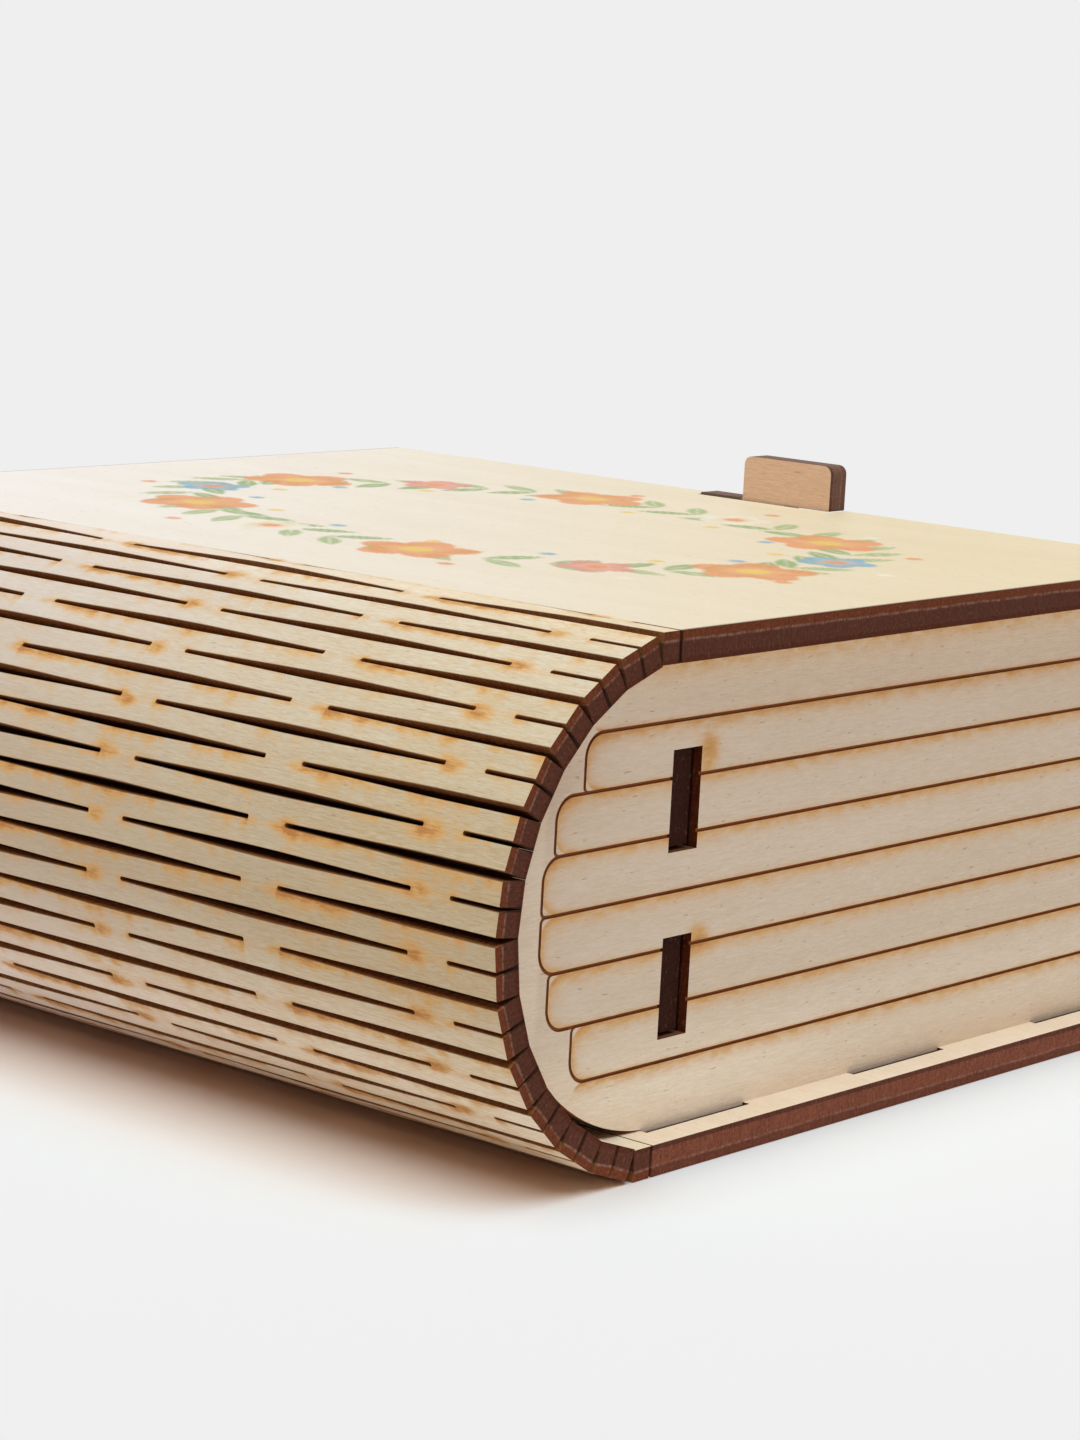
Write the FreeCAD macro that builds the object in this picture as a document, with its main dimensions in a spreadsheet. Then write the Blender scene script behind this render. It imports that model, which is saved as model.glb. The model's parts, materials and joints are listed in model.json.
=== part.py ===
"""A book-shaped plywood box: two cover boards joined by a slit living hinge, four walls and a sliding latch.

Working frame, millimetres: X = 0 on the first row of slits, +X from the spine to the fore-edge,
Y = 0 on the tail edge of the covers, +Y to the head, Z = 0 on the underside of the back cover.
At the end every piece is placed so that the origin lies under the middle of the whole box.
"""
import FreeCAD, Part
import math
import os
import re
import Sketcher

doc = FreeCAD.newDocument("book_box")
sheet = doc.addObject("Spreadsheet::Sheet", "sizes")

STAVES = 26
BRIDGES_PER_ROW = 3
PAGE_LINES = 7

# Driving dimensions, in millimetres and degrees
DIMENSIONS = {
    "ply": (3.0, "thickness of the plywood sheet"),
    "cover_length": (119.3, "covers from tail to head"),
    "cover_width": (91.0, "covers from the slits to the fore-edge"),
    "box_height": (50.5, "underside of the back cover to the top of the lid"),
    "end_turn": (12.5, "turn of the first and last stave of the closed hinge"),
    "edge_clear": (0.05, "gap left at the inner edges of the tightest bend"),
    "first_bridge": (8.0, "middle of the first bridge from the tail edge"),
    "bridge_length": (4.6, "uncut length between two slits of a row"),
    "bridge_gap": (0.1, "clearance between a bridge and the next stave"),
    "end_overhang": (3.8, "covers beyond the end panels"),
    "panel_round": (4.9, "slits to the middle of the end panel's round"),
    "page_pitch": (5.34, "distance between engraved page lines"),
    "page_margin": (4.5, "end panel's edge to the ends of the pages"),
    "page_corner": (2.2, "outer corner radius of an engraved page"),
    "page_inner_corner": (0.6, "inner corner radius of an engraved page"),
    "engrave_width": (0.34, "width of an engraved line"),
    "engrave_depth": (0.25, "depth of an engraved line"),
    "spine_wall_place": (5.1, "slits to the spine wall"),
    "tenon_height": (9.1, "height of a wall's tenon"),
    "tenon_low": (16.3, "middle of the lower tenon above the underside"),
    "tenon_pitch": (17.6, "distance between the two tenons"),
    "tenon_setback": (0.6, "tenon's end below the face of the end panel"),
    "slot_spare": (0.4, "spare room in a tenon's slot, below the tenon and behind it"),
    "mortise_slack": (0.8, "spare width of a mortise, on one side"),
    "fit_gap": (0.1, "clearance on the other sides of a mortise"),
    "tab_width": (15.3, "width of a tab in the back cover"),
    "tab_setback": (0.2, "tab's end above the underside"),
    "tab_inset_spine": (5.8, "middle of the panel's round to its first tab"),
    "tab_inset_fore": (12.5, "panel's fore-edge to its last tab"),
    "wall_tab_inset": (22.0, "end of a long wall to the middle of its tab"),
    "latch_gap": (0.3, "running clearance of the latch"),
    "hook_place": (49.1, "tail edge to the near end of the hook"),
    "hook_width": (12.5, "width of the hook plate"),
    "hook_rise": (5.2, "hook's top above the lid"),
    "hook_low": (20.0, "hook plate's lower end above the underside"),
    "shoulder_drop": (0.45, "hook's shoulder below the top of the lid"),
    "hook_corner": (1.0, "corner radius of the latch plates"),
    "latch_travel": (6.2, "travel of the latch"),
    "link_width": (7.0, "width of the strip that joins hook and keeper"),
    "link_place": (32.0, "middle of that strip above the underside"),
    "keeper_width": (20.0, "width of the keeper plate"),
    "keeper_height": (14.0, "height of the keeper plate"),
}

# Sizes that follow from the driving ones
DERIVED = {
    "stave_count": (f"={STAVES}", "staves in the hinge"),
    "stave_turn": ("=(180 - 2 * end_turn) / (stave_count - 2)", "turn of the other staves"),
    "stave_pitch": (
        "=(box_height - ply) * sin(stave_turn / 2) / sin((stave_count - 1) * stave_turn / 2)",
        "distance between stave axes, so that the closed hinge spans the box",
    ),
    "kerf": (
        "=(edge_clear + ply / 2 * sin(end_turn) + stave_pitch / 2 * (1 - cos(end_turn)))"
        " / (1.5 - cos(end_turn) / 2)",
        "slit width that lets the tightest bend close",
    ),
    "stave_width": ("=stave_pitch - kerf", "width of a stave"),
    "bridge_reach": ("=kerf - bridge_gap", "how far a bridge crosses its slit"),
    "bridge_pitch": (
        f"=(cover_length - 2 * first_bridge) / ({BRIDGES_PER_ROW} - 0.5)",
        "distance between the bridges of a row",
    ),
    "roll_radius": ("=stave_pitch / (2 * sin(stave_turn / 2))", "circle of the stave axes"),
    "roll_centre": (
        "=roll_radius * cos((stave_count - 1) * stave_turn / 2) - stave_pitch / 2",
        "middle of that circle from the first slits",
    ),
    "lid_under": ("=box_height - ply", "underside of the lid"),
    "panel_radius": ("=(box_height - 2 * ply) / 2", "round of the end panels"),
    "wall_outer": ("=cover_width - ply - latch_gap", "outer face of the fore-edge wall"),
    "wall_inner": ("=wall_outer - ply", "inner face of the fore-edge wall"),
    "inner_tail": ("=end_overhang + ply", "inner face of the tail panel"),
    "inner_length": ("=cover_length - 2 * inner_tail", "between the end panels"),
    "mortise": ("=ply + mortise_slack", "width of a mortise"),
    "tab_depth": ("=ply - tab_setback", "length of a tab"),
    "hook_end": ("=hook_place + hook_width", "far end of the hook"),
    "mouth": ("=hook_place + latch_travel + latch_gap", "bottom of the hook's mouth"),
    "shoulder_end": ("=hook_end + latch_travel", "far end of the shoulder that fills the lid's notch"),
    "shoulder_low": ("=lid_under - 2 * ply", "lower edge of the shoulder"),
    "link_middle": ("=hook_place + hook_width / 2", "middle of the joining strip"),
}


def fill_sheet():
    """Writes each size with its meaning and alias, driving sizes first."""
    rows = [(name, str(value), note) for name, (value, note) in DIMENSIONS.items()]
    rows += [(name, formula, note) for name, (formula, note) in DERIVED.items()]
    for number, (name, content, note) in enumerate(rows, start=1):
        sheet.set(f"A{number}", note)
        sheet.set(f"B{number}", content)
        sheet.setAlias(f"B{number}", name)
    doc.recompute()


def size(name):
    """A size as a plain number."""
    value = sheet.get(name)
    return float(getattr(value, "Value", value))


def bound(text):
    """An expression written with the sheet's aliases, as the document wants it."""
    known = lambda word: f"sizes.{word[0]}" if word[0] in DIMENSIONS or word[0] in DERIVED else word[0]
    return re.sub(r"[a-z_]+", known, text)


fill_sheet()


# Building blocks
def block(name, start, extent):
    """A box from its lowest corner and its extents, each given as three expressions."""
    box = doc.addObject("Part::Box", name)
    for axis, expression in zip("xyz", start):
        box.setExpression(f"Placement.Base.{axis}", bound(expression))
    for side, expression in zip(("Length", "Width", "Height"), extent):
        box.setExpression(side, bound(expression))
    return box


def fuse(name, shapes):
    """One solid out of several that touch or overlap."""
    union = doc.addObject("Part::MultiFuse", name)
    union.Shapes = shapes
    union.Refine = True
    return union


def cut(name, base, tools):
    """The base with every tool taken away."""
    result = doc.addObject("Part::Cut", name)
    result.Base = base
    result.Tool = tools[0] if len(tools) == 1 else fuse(f"{name}_cuts", tools)
    return result


def bridge_places(row):
    """Start of each bridge of a slit row: odd rows begin near the tail edge, even ones half a pitch on."""
    shift = "0" if row % 2 else "bridge_pitch / 2"
    return [
        f"first_bridge - bridge_length / 2 + {shift} + {number} * bridge_pitch"
        for number in range(BRIDGES_PER_ROW)
    ]


def bridges(name, row, edge, middle):
    """Half-thickness bridges of one slit row, from an edge of a board or stave towards -X."""
    return [
        block(f"{name}_{number}", (f"{edge} - bridge_reach", place, middle),
              ("bridge_reach", "bridge_length", "ply / 2"))
        for number, place in enumerate(bridge_places(row))
    ]


# Hinge staves
def stave_axis(number):
    """Axis of a stave on the roll's circle, as (x, z)."""
    angle = math.radians(size("stave_turn") * ((STAVES + 1) / 2 - number))
    x = size("roll_centre") - size("roll_radius") * math.cos(angle)
    z = size("box_height") / 2 + size("roll_radius") * math.sin(angle)
    return x, z


def row_turn(row):
    """Slope of the sheet at a slit row of the closed hinge: 0 at the lid, 180 at the back cover."""
    if row == STAVES + 1:
        return 180.0
    return size("end_turn") + (row - 2) * size("stave_turn") if row > 1 else 0.0


def hinge_stave(number):
    """A strip of the spine with the bridges of its lower slit row, drawn about its own axis."""
    name = f"hinge_stave_{number:02d}"
    strip = block(f"{name}_strip", ("-stave_width / 2", "0", "-ply / 2"),
                  ("stave_width", "cover_length", "ply"))
    stave = fuse(name, [strip] + bridges(f"{name}_bridge", number + 1, "-stave_width / 2", "0"))
    x, z = stave_axis(number)
    turn = FreeCAD.Rotation(FreeCAD.Vector(0, -1, 0), row_turn(number + 1))
    stave.Placement = FreeCAD.Placement(FreeCAD.Vector(x, 0, z), turn)
    return stave


# Covers
def front_cover():
    """The lid board, with the bridges of the first slit row and the latch notch open to the fore-edge."""
    board = block("lid_board", ("kerf / 2", "0", "lid_under"),
                  ("cover_width - kerf / 2", "cover_length", "ply"))
    lid = fuse("lid_with_bridges", [board] + bridges("lid_bridge", 1, "kerf / 2", "box_height - ply / 2"))
    notch = block("latch_notch", ("wall_outer", "hook_place - latch_gap", "lid_under - ply"),
                  ("2 * ply", "hook_width + latch_travel + 2 * latch_gap", "3 * ply"))
    return cut("front_cover", lid, [notch])


def panel_tab_places():
    """Middle of each tab under an end panel, from the spine to the fore-edge."""
    first = "panel_round + tab_inset_spine"
    last = "wall_outer - tab_inset_fore"
    return [first, f"({first} + {last}) / 2", last]


def wall_tab_places():
    """Middle of each tab under a long wall."""
    return ["inner_tail + wall_tab_inset", "cover_length - inner_tail - wall_tab_inset"]


def back_cover():
    """The base board, with a mortise for every tab; an end panel's mortise has its slack on the outside."""
    board = block("base_board", ("kerf / 2", "0", "0"),
                  ("cover_width - kerf / 2", "cover_length", "ply"))
    mortises = []
    panel_fronts = ("end_overhang - mortise_slack", "cover_length - inner_tail")
    for end, front in zip(("tail", "head"), panel_fronts):
        for number, middle in enumerate(panel_tab_places()):
            mortises.append(block(
                f"{end}_mortise_{number}",
                (f"{middle} - tab_width / 2 - fit_gap", front, "-ply"),
                ("tab_width + 2 * fit_gap", "mortise", "3 * ply")))
    for wall, inner in (("spine", "spine_wall_place"), ("fore", "wall_inner - mortise_slack")):
        for number, middle in enumerate(wall_tab_places()):
            mortises.append(block(
                f"{wall}_mortise_{number}",
                (inner, f"{middle} - tab_width / 2 - fit_gap", "-ply"),
                ("mortise", "tab_width + 2 * fit_gap", "3 * ply")))
    return cut("back_cover", board, mortises)


# End panels
def tongue(end, low, high, low_corner, high_corner, right):
    """Face of a page outline in the XZ plane, open to the fore-edge, with two round corners at the spine."""
    diagonal = 1 - math.sqrt(0.5)
    at = lambda x, z: FreeCAD.Vector(x, 0, z)
    low_mid = at(end + low_corner * diagonal, low + low_corner * diagonal)
    high_mid = at(end + high_corner * diagonal, high - high_corner * diagonal)
    edges = [
        Part.LineSegment(at(right, low), at(end + low_corner, low)),
        Part.Arc(at(end + low_corner, low), low_mid, at(end, low + low_corner)),
        Part.LineSegment(at(end, low + low_corner), at(end, high - high_corner)),
        Part.Arc(at(end, high - high_corner), high_mid, at(end + high_corner, high)),
        Part.LineSegment(at(end + high_corner, high), at(right, high)),
        Part.LineSegment(at(right, high), at(right, low)),
    ]
    return Part.Face(Part.Wire([edge.toShape() for edge in edges]))


def page_outline(low, high, grow):
    """A page between two engraved lines, grown outwards; its end follows the panel's round."""
    middle = size("box_height") / 2
    upper = low + high > 2 * middle
    nearest = min(abs(low - middle), abs(high - middle))
    reach = size("panel_radius") - size("page_margin")
    height = min(nearest + (high - low) / 3, reach)
    end = size("panel_round") - math.sqrt(reach ** 2 - height ** 2)
    low_corner = size("page_inner_corner" if upper else "page_corner") + grow
    high_corner = size("page_corner" if upper else "page_inner_corner") + grow
    right = size("wall_outer") + size("ply")
    return tongue(end - grow, low - grow, high + grow, low_corner, high_corner, right)


def page_line_heights():
    """Heights of the engraved lines, evenly spaced about the middle of the box."""
    lowest = size("box_height") / 2 - (PAGE_LINES - 1) / 2 * size("page_pitch")
    return [lowest + number * size("page_pitch") for number in range(PAGE_LINES)]


def page_engraving(name, face, inwards):
    """Outlines of the pages, engraved into an end panel from its outer face."""
    half = size("engrave_width") / 2
    depth = FreeCAD.Vector(0, inwards * size("engrave_depth"), 0)
    heights = page_line_heights()
    rings = []
    for low, high in zip(heights, heights[1:]):
        ring = page_outline(low, high, half).cut(page_outline(low, high, -half))
        rings.append(ring.extrude(depth))
    engraving = doc.addObject("Part::Feature", name)
    engraving.Shape = rings[0].multiFuse(rings[1:])
    engraving.Placement = FreeCAD.Placement(FreeCAD.Vector(0, face, 0), FreeCAD.Rotation())
    return engraving


def tenon_middles():
    """Heights of the two tenons of a long wall."""
    return ["tenon_low", "tenon_low + tenon_pitch"]


def end_panel(name, front, face, inwards):
    """A D-shaped end: half round towards the spine, with slots and notches for the two long walls."""
    round_end = doc.addObject("Part::Cylinder", f"{name}_round")
    round_end.setExpression("Radius", bound("panel_radius"))
    round_end.setExpression("Height", bound("ply"))
    round_end.Placement.Rotation = FreeCAD.Rotation(FreeCAD.Vector(1, 0, 0), -90)
    for axis, expression in zip("xyz", ("panel_round", front, "box_height / 2")):
        round_end.setExpression(f"Placement.Base.{axis}", bound(expression))
    flat = block(f"{name}_flat", ("panel_round", front, "ply"),
                 ("wall_outer - panel_round", "ply", "box_height - 2 * ply"))
    tabs = [
        block(f"{name}_tab_{number}", (f"{middle} - tab_width / 2", front, "tab_setback"),
              ("tab_width", "ply", "tab_depth + ply"))
        for number, middle in enumerate(panel_tab_places())
    ]
    slots = []
    for number, middle in enumerate(tenon_middles()):
        low = f"{middle} - tenon_height / 2 - slot_spare"
        tall = "tenon_height + slot_spare + fit_gap"
        slots.append(block(f"{name}_slot_{number}",
                           ("spine_wall_place - slot_spare", f"{front} - ply", low),
                           ("mortise + slot_spare", "3 * ply", tall)))
        slots.append(block(f"{name}_notch_{number}",
                           ("wall_inner", f"{front} - ply", low), ("2 * ply", "3 * ply", tall)))
    board = cut(f"{name}_board", fuse(f"{name}_outline", [round_end, flat] + tabs), slots)
    return cut(name, board, [page_engraving(f"{name}_pages", face, inwards)])


# Long walls
def wall_tabs(name, inner):
    """The two tabs under a long wall."""
    return [
        block(f"{name}_tab_{number}", (inner, f"{middle} - tab_width / 2", "tab_setback"),
              ("ply", "tab_width", "tab_depth + ply"))
        for number, middle in enumerate(wall_tab_places())
    ]


def wall_tenons(name, inner, setback):
    """Tenons that run right through a long wall and out into both end panels."""
    return [
        block(f"{name}_tenon_{number}",
              (inner, f"end_overhang + {setback}", f"{middle} - tenon_height / 2"),
              ("ply", f"cover_length - 2 * end_overhang - 2 * {setback}", "tenon_height"))
        for number, middle in enumerate(tenon_middles())
    ]


def long_wall(name, inner, setback):
    """A wall between the end panels, with tenons at its ends and tabs below."""
    board = block(f"{name}_board", (inner, "inner_tail", "ply"),
                  ("ply", "inner_length", "box_height - 2 * ply"))
    return fuse(name, [board] + wall_tenons(name, inner, setback) + wall_tabs(name, inner))


def spine_wall():
    """The inner wall whose tenon ends show in the slots of the end panels."""
    return long_wall("spine_wall", "spine_wall_place", "tenon_setback")


def fore_edge_wall():
    """The outer wall, with page lines right across it and the slot that the latch runs in."""
    wall = long_wall("fore_wall_plain", "wall_inner", "0")
    slot = block("latch_slot",
                 ("wall_inner - ply", "link_middle - link_width / 2 - latch_travel - latch_gap",
                  "link_place - ply / 2 - latch_gap"),
                 ("3 * ply", "link_width + latch_travel + 2 * latch_gap", "ply + 2 * latch_gap"))
    lines = [
        block(f"fore_line_{number}",
              ("wall_outer - engrave_depth", "0",
               f"box_height / 2 + {number - (PAGE_LINES - 1) / 2} * page_pitch - engrave_width / 2"),
              ("2 * engrave_depth", "cover_length", "engrave_width"))
        for number in range(PAGE_LINES)
    ]
    return cut("fore_edge_wall", wall, [slot] + lines)


# Latch
def origin_plane(body, role):
    """One of a body's own origin planes."""
    return next(item for item in body.Origin.OriginFeatures if item.Role == role)


def draw(sketch, corners):
    """A closed outline whose corners are held by expressions, two distances each."""
    points = [[float(sketch.evalExpression(bound(part))) for part in corner] for corner in corners]
    count = len(points)
    start = sketch.GeometryCount
    for number, (x, y) in enumerate(points):
        next_x, next_y = points[(number + 1) % count]
        line = Part.LineSegment(FreeCAD.Vector(x, y, 0), FreeCAD.Vector(next_x, next_y, 0))
        sketch.addGeometry(line)
    for number in range(count):
        this = start + number
        following = start + (number + 1) % count
        sketch.addConstraint(Sketcher.Constraint("Coincident", this, 2, following, 1))
        for kind, place, text in zip(("DistanceX", "DistanceY"), points[number], corners[number]):
            index = sketch.addConstraint(Sketcher.Constraint(kind, -1, 1, this, 1, place))
            sketch.setExpression(f"Constraints[{index}]", bound(text))


def rectangle(left, low, width, height):
    """Corners of a rectangle, in expressions."""
    right = f"{left} + {width}"
    high = f"{low} + {height}"
    return [(left, low), (right, low), (right, high), (left, high)]


def plate(name, inner, thickness, outlines):
    """A body across X, padded from its inner face."""
    body = doc.addObject("PartDesign::Body", name)
    sketch = body.newObject("Sketcher::SketchObject", f"{name}_outline")
    sketch.AttachmentSupport = [(origin_plane(body, "YZ_Plane"), "")]
    sketch.MapMode = "FlatFace"
    sketch.setExpression("AttachmentOffset.Base.z", bound(inner))
    doc.recompute()
    for corners in outlines:
        draw(sketch, corners)
    pad = body.newObject("PartDesign::Pad", f"{name}_pad")
    pad.Profile = sketch
    pad.setExpression("Length", bound(thickness))
    doc.recompute()
    return body


def round_corners(body):
    """Rounds the top and bottom corners of a latch plate."""
    pad = body.Tip
    box = pad.Shape.BoundBox
    corners = [
        f"Edge{number}" for number, edge in enumerate(pad.Shape.Edges, start=1)
        if is_outer_corner(edge, box)
    ]
    fillet = body.newObject("PartDesign::Fillet", f"{body.Name}_corners")
    fillet.Base = (pad, corners)
    fillet.setExpression("Radius", bound("hook_corner"))
    return body


def is_outer_corner(edge, box):
    """True for an edge along X at the top or the bottom of a plate."""
    first, last = edge.Vertexes[0].Point, edge.Vertexes[-1].Point
    along = abs(first.x - last.x) > box.XLength / 2
    return along and min(first.z - box.ZMin, box.ZMax - first.z) < 1e-6


def link_hole():
    """Hole in a latch plate for the joining strip."""
    return rectangle("link_middle - link_width / 2 - fit_gap", "link_place - ply / 2 - fit_gap",
                     "link_width + 2 * fit_gap", "ply + 2 * fit_gap")


def latch_hook():
    """The outer plate: a tab above the lid, a mouth below it, and a shoulder in the lid's notch."""
    outline = [
        ("hook_place", "hook_low"),
        ("hook_end", "hook_low"),
        ("hook_end", "shoulder_low"),
        ("shoulder_end", "shoulder_low"),
        ("shoulder_end", "box_height - shoulder_drop"),
        ("hook_end", "box_height - shoulder_drop"),
        ("hook_end", "box_height + hook_rise"),
        ("hook_place", "box_height + hook_rise"),
        ("hook_place", "box_height + latch_gap"),
        ("mouth", "box_height + latch_gap"),
        ("mouth", "lid_under - latch_gap"),
        ("hook_place", "lid_under - latch_gap"),
    ]
    return round_corners(plate("latch_hook", "wall_outer + latch_gap", "ply", [outline, link_hole()]))


def latch_keeper():
    """The inner plate that holds the hook against the wall."""
    outline = rectangle("link_middle - keeper_width / 2", "link_place - keeper_height / 2",
                        "keeper_width", "keeper_height")
    return round_corners(plate("latch_keeper", "wall_inner - latch_gap - ply", "ply", [outline, link_hole()]))


def latch_link():
    """The strip through the wall's slot, flush with both latch plates."""
    outline = rectangle("link_middle - link_width / 2", "link_place - ply / 2", "link_width", "ply")
    return plate("latch_link", "wall_inner - latch_gap - ply", "3 * ply + 2 * latch_gap", [outline])


# The whole box
pieces = [front_cover(), back_cover()]
pieces += [hinge_stave(number) for number in range(1, STAVES + 1)]
pieces.append(end_panel("tail_panel", "end_overhang", size("end_overhang"), 1))
head_face = size("cover_length") - size("end_overhang")
pieces.append(end_panel("head_panel", "cover_length - inner_tail", head_face, -1))
pieces += [spine_wall(), fore_edge_wall(), latch_hook(), latch_keeper(), latch_link()]
doc.recompute()

spine_edge = min(piece.Shape.BoundBox.XMin for piece in pieces)
middle = FreeCAD.Vector((spine_edge + size("cover_width")) / 2, size("cover_length") / 2, 0)
for piece in pieces:
    placed = piece.Placement
    piece.Placement = FreeCAD.Placement(placed.Base - middle, placed.Rotation)
doc.recompute()

# Every object is sound before anything is written
for item in doc.Objects:
    if "Invalid" in item.State or "Error" in item.State:
        raise RuntimeError(f"{item.Name} failed: {item.State}")
for piece in pieces:
    if piece.Shape.isNull() or not piece.Shape.isValid() or len(piece.Shape.Solids) != 1:
        raise RuntimeError(f"{piece.Name} is not one sound solid")

os.makedirs("parts", exist_ok=True)
for piece in pieces:
    piece.Label = piece.Name
    piece.Shape.exportStep(f"parts/{piece.Label}.step")
print(f"{len(pieces)} pieces; stave pitch {size('stave_pitch'):.3f}, kerf {size('kerf'):.3f},"
      f" hinge roll {size('roll_radius'):.2f} about x {size('roll_centre'):.2f},"
      f" bridge pitch {size('bridge_pitch'):.2f}, frame shift {middle.x:.3f}, {middle.y:.3f}")
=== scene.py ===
# %% [markdown]
# # A book-shaped box of laser-cut plywood
# Two boards and a spine are cut from one sheet of 3 mm birch plywood. Rows of slits make the spine
# bend like the back of a book, and four walls stand on the lower board. The solids come from the
# CAD model, which stays fixed, so the first step loads it; a helper reads the box of any part
# later.

# %% Load the imported model
import json
import bpy
import numpy as np
from mathutils import Matrix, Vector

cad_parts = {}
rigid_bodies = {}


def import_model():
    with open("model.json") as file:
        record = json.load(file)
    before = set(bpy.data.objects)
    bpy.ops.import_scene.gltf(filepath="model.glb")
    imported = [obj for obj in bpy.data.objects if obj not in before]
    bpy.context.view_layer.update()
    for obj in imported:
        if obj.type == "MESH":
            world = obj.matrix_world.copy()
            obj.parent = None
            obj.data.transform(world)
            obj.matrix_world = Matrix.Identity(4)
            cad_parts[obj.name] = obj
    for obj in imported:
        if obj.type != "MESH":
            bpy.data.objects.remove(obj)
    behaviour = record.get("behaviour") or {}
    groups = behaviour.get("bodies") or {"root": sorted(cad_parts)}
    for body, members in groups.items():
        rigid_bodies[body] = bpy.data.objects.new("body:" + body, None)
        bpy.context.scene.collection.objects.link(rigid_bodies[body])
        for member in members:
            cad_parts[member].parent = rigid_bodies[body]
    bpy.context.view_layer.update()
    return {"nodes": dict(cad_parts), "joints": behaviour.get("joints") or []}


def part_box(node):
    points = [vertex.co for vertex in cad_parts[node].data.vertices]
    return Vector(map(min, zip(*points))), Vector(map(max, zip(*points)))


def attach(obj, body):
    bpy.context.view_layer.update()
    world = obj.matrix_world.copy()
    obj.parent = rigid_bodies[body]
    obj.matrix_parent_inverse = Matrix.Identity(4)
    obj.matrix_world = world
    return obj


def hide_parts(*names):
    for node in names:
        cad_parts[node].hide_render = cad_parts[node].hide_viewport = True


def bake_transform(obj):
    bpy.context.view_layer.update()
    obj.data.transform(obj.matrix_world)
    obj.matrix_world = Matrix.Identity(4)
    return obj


for leftover in list(bpy.data.objects):
    bpy.data.objects.remove(leftover)
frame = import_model()

# %% [markdown]
# ## What the model says about the hinge
# The spine is a lattice hinge: 26 staves stand between 27 rows of slits, and each stave twists
# about its own middle line. The record holds one joint per stave, so the axes and the turn of every
# row can be read from there instead of being typed in again. All lengths below are millimetres,
# apart from those of the camera, the floor and the bump, which are metres.

# %% Read the stave axes and the turn of every slit row
PLY = 3.0
KERF = 0.402
twists = sorted((j for j in frame["joints"] if j["name"].startswith("stave_twist")),
                key=lambda j: j["name"])
STAVES = len(twists)
axis_x, _, axis_z = 1000 * np.array([j["pos_m"] for j in twists]).T
row_turn = np.radians(np.concatenate([[0], np.cumsum([j["range_deg"][1] for j in twists])]))
PITCH = float(np.hypot(axis_x[1] - axis_x[0], axis_z[1] - axis_z[0]))
base_low, base_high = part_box("back_cover")
TAIL = 1000 * base_low.y
LENGTH = 1000 * (base_high.y - base_low.y)
LID_TOP = 1000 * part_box("front_cover")[1].z
FIRST_ROW = float(axis_x[0]) + PITCH / 2
SPINE_WIDE = PITCH * STAVES
print(f"{STAVES} staves, pitch {PITCH:.3f}, {np.degrees(row_turn[-1]):.1f} degrees lid to base")

# %% [markdown]
# ## Camera
# The picture is taken from low beside the spine, at the tail end, with a long lens. Its direction
# is given as three unit vectors, because a matrix says exactly where the frame's edges lie and no
# constraint has to be solved.

# %% Camera
right = np.array([0.6539, -0.7548, 0.0515])
up = np.array([0.0960, 0.1503, 0.9840])
back = np.array([-0.7505, -0.6385, 0.1708])
lens = bpy.data.cameras.new("camera")
lens.lens = 94.41
lens.sensor_width = 36.0
lens.clip_start = 0.01
camera = bpy.data.objects.new("camera", lens)
turned = np.eye(4)
turned[:3, :3] = np.stack([right, up, back], axis=1)
turned[:3, 3] = (-0.29473, -0.26556, 0.09929)
camera.matrix_world = Matrix(turned.tolist())
bpy.context.scene.collection.objects.link(camera)
bpy.context.scene.camera = camera
print("camera", [round(v, 3) for v in camera.matrix_world.translation])

# %% [markdown]
# ## Small helpers for shader trees
# The world, the floor and every finish are trees of shader nodes. Short helpers keep these
# readable: one adds a node and sets or joins its inputs, and the others name the sums that come up
# again and again.

# %% Helpers for node trees
def add(tree, kind, values=None, **settings):
    """A node; settings go on it, values on its inputs, joined where they are sockets."""
    node = tree.nodes.new(kind)
    for key, value in settings.items():
        setattr(node, key, value)
    for key, value in (values or {}).items():
        if isinstance(value, bpy.types.NodeSocket):
            tree.links.new(value, node.inputs[key])
        else:
            node.inputs[key].default_value = value
    return node


def calc(tree, operation, a, b=0.0, c=0.0):
    """The result of one Math node."""
    return add(tree, "ShaderNodeMath", {0: a, 1: b, 2: c}, operation=operation).outputs[0]


def product(tree, result, *others):
    """Two or more values multiplied."""
    for other in others:
        result = calc(tree, "MULTIPLY", result, other)
    return result


def fall_off(tree, value, pace):
    """exp(pace x value)."""
    return calc(tree, "EXPONENT", product(tree, value, pace))


def away_from(tree, value, middle):
    """How far a value is from a middle, on either side."""
    return calc(tree, "ABSOLUTE", calc(tree, "SUBTRACT", value, middle))


def ramp(tree, value, low, high):
    """Smooth step: 0 where value is at low, 1 where it is at high."""
    return add(tree, "ShaderNodeMapRange", {0: value, 1: low, 2: high, 3: 0.0, 4: 1.0},
               interpolation_type="SMOOTHSTEP").outputs[0]


def blend(tree, share, under, over, mode="MIX"):
    """Two colours mixed; share 0 gives the first, 1 the second."""
    return add(tree, "ShaderNodeMix", {0: share, 6: under, 7: over},
               data_type="RGBA", blend_type=mode).outputs[2]


def split(tree, vector):
    """The three parts of a vector."""
    return add(tree, "ShaderNodeSeparateXYZ", {0: vector}).outputs


def stretched_noise(tree, place, scale, detail=2.0, roughness=0.55):
    """Noise between 0 and 1 whose grains are as long as one over the scale, along each axis."""
    scaled = add(tree, "ShaderNodeVectorMath", {0: place, 1: scale}, operation="MULTIPLY")
    return add(tree, "ShaderNodeTexNoise", {"Vector": scaled.outputs[0], "Scale": 1.0,
                                            "Detail": detail, "Roughness": roughness}).outputs[0]


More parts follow.
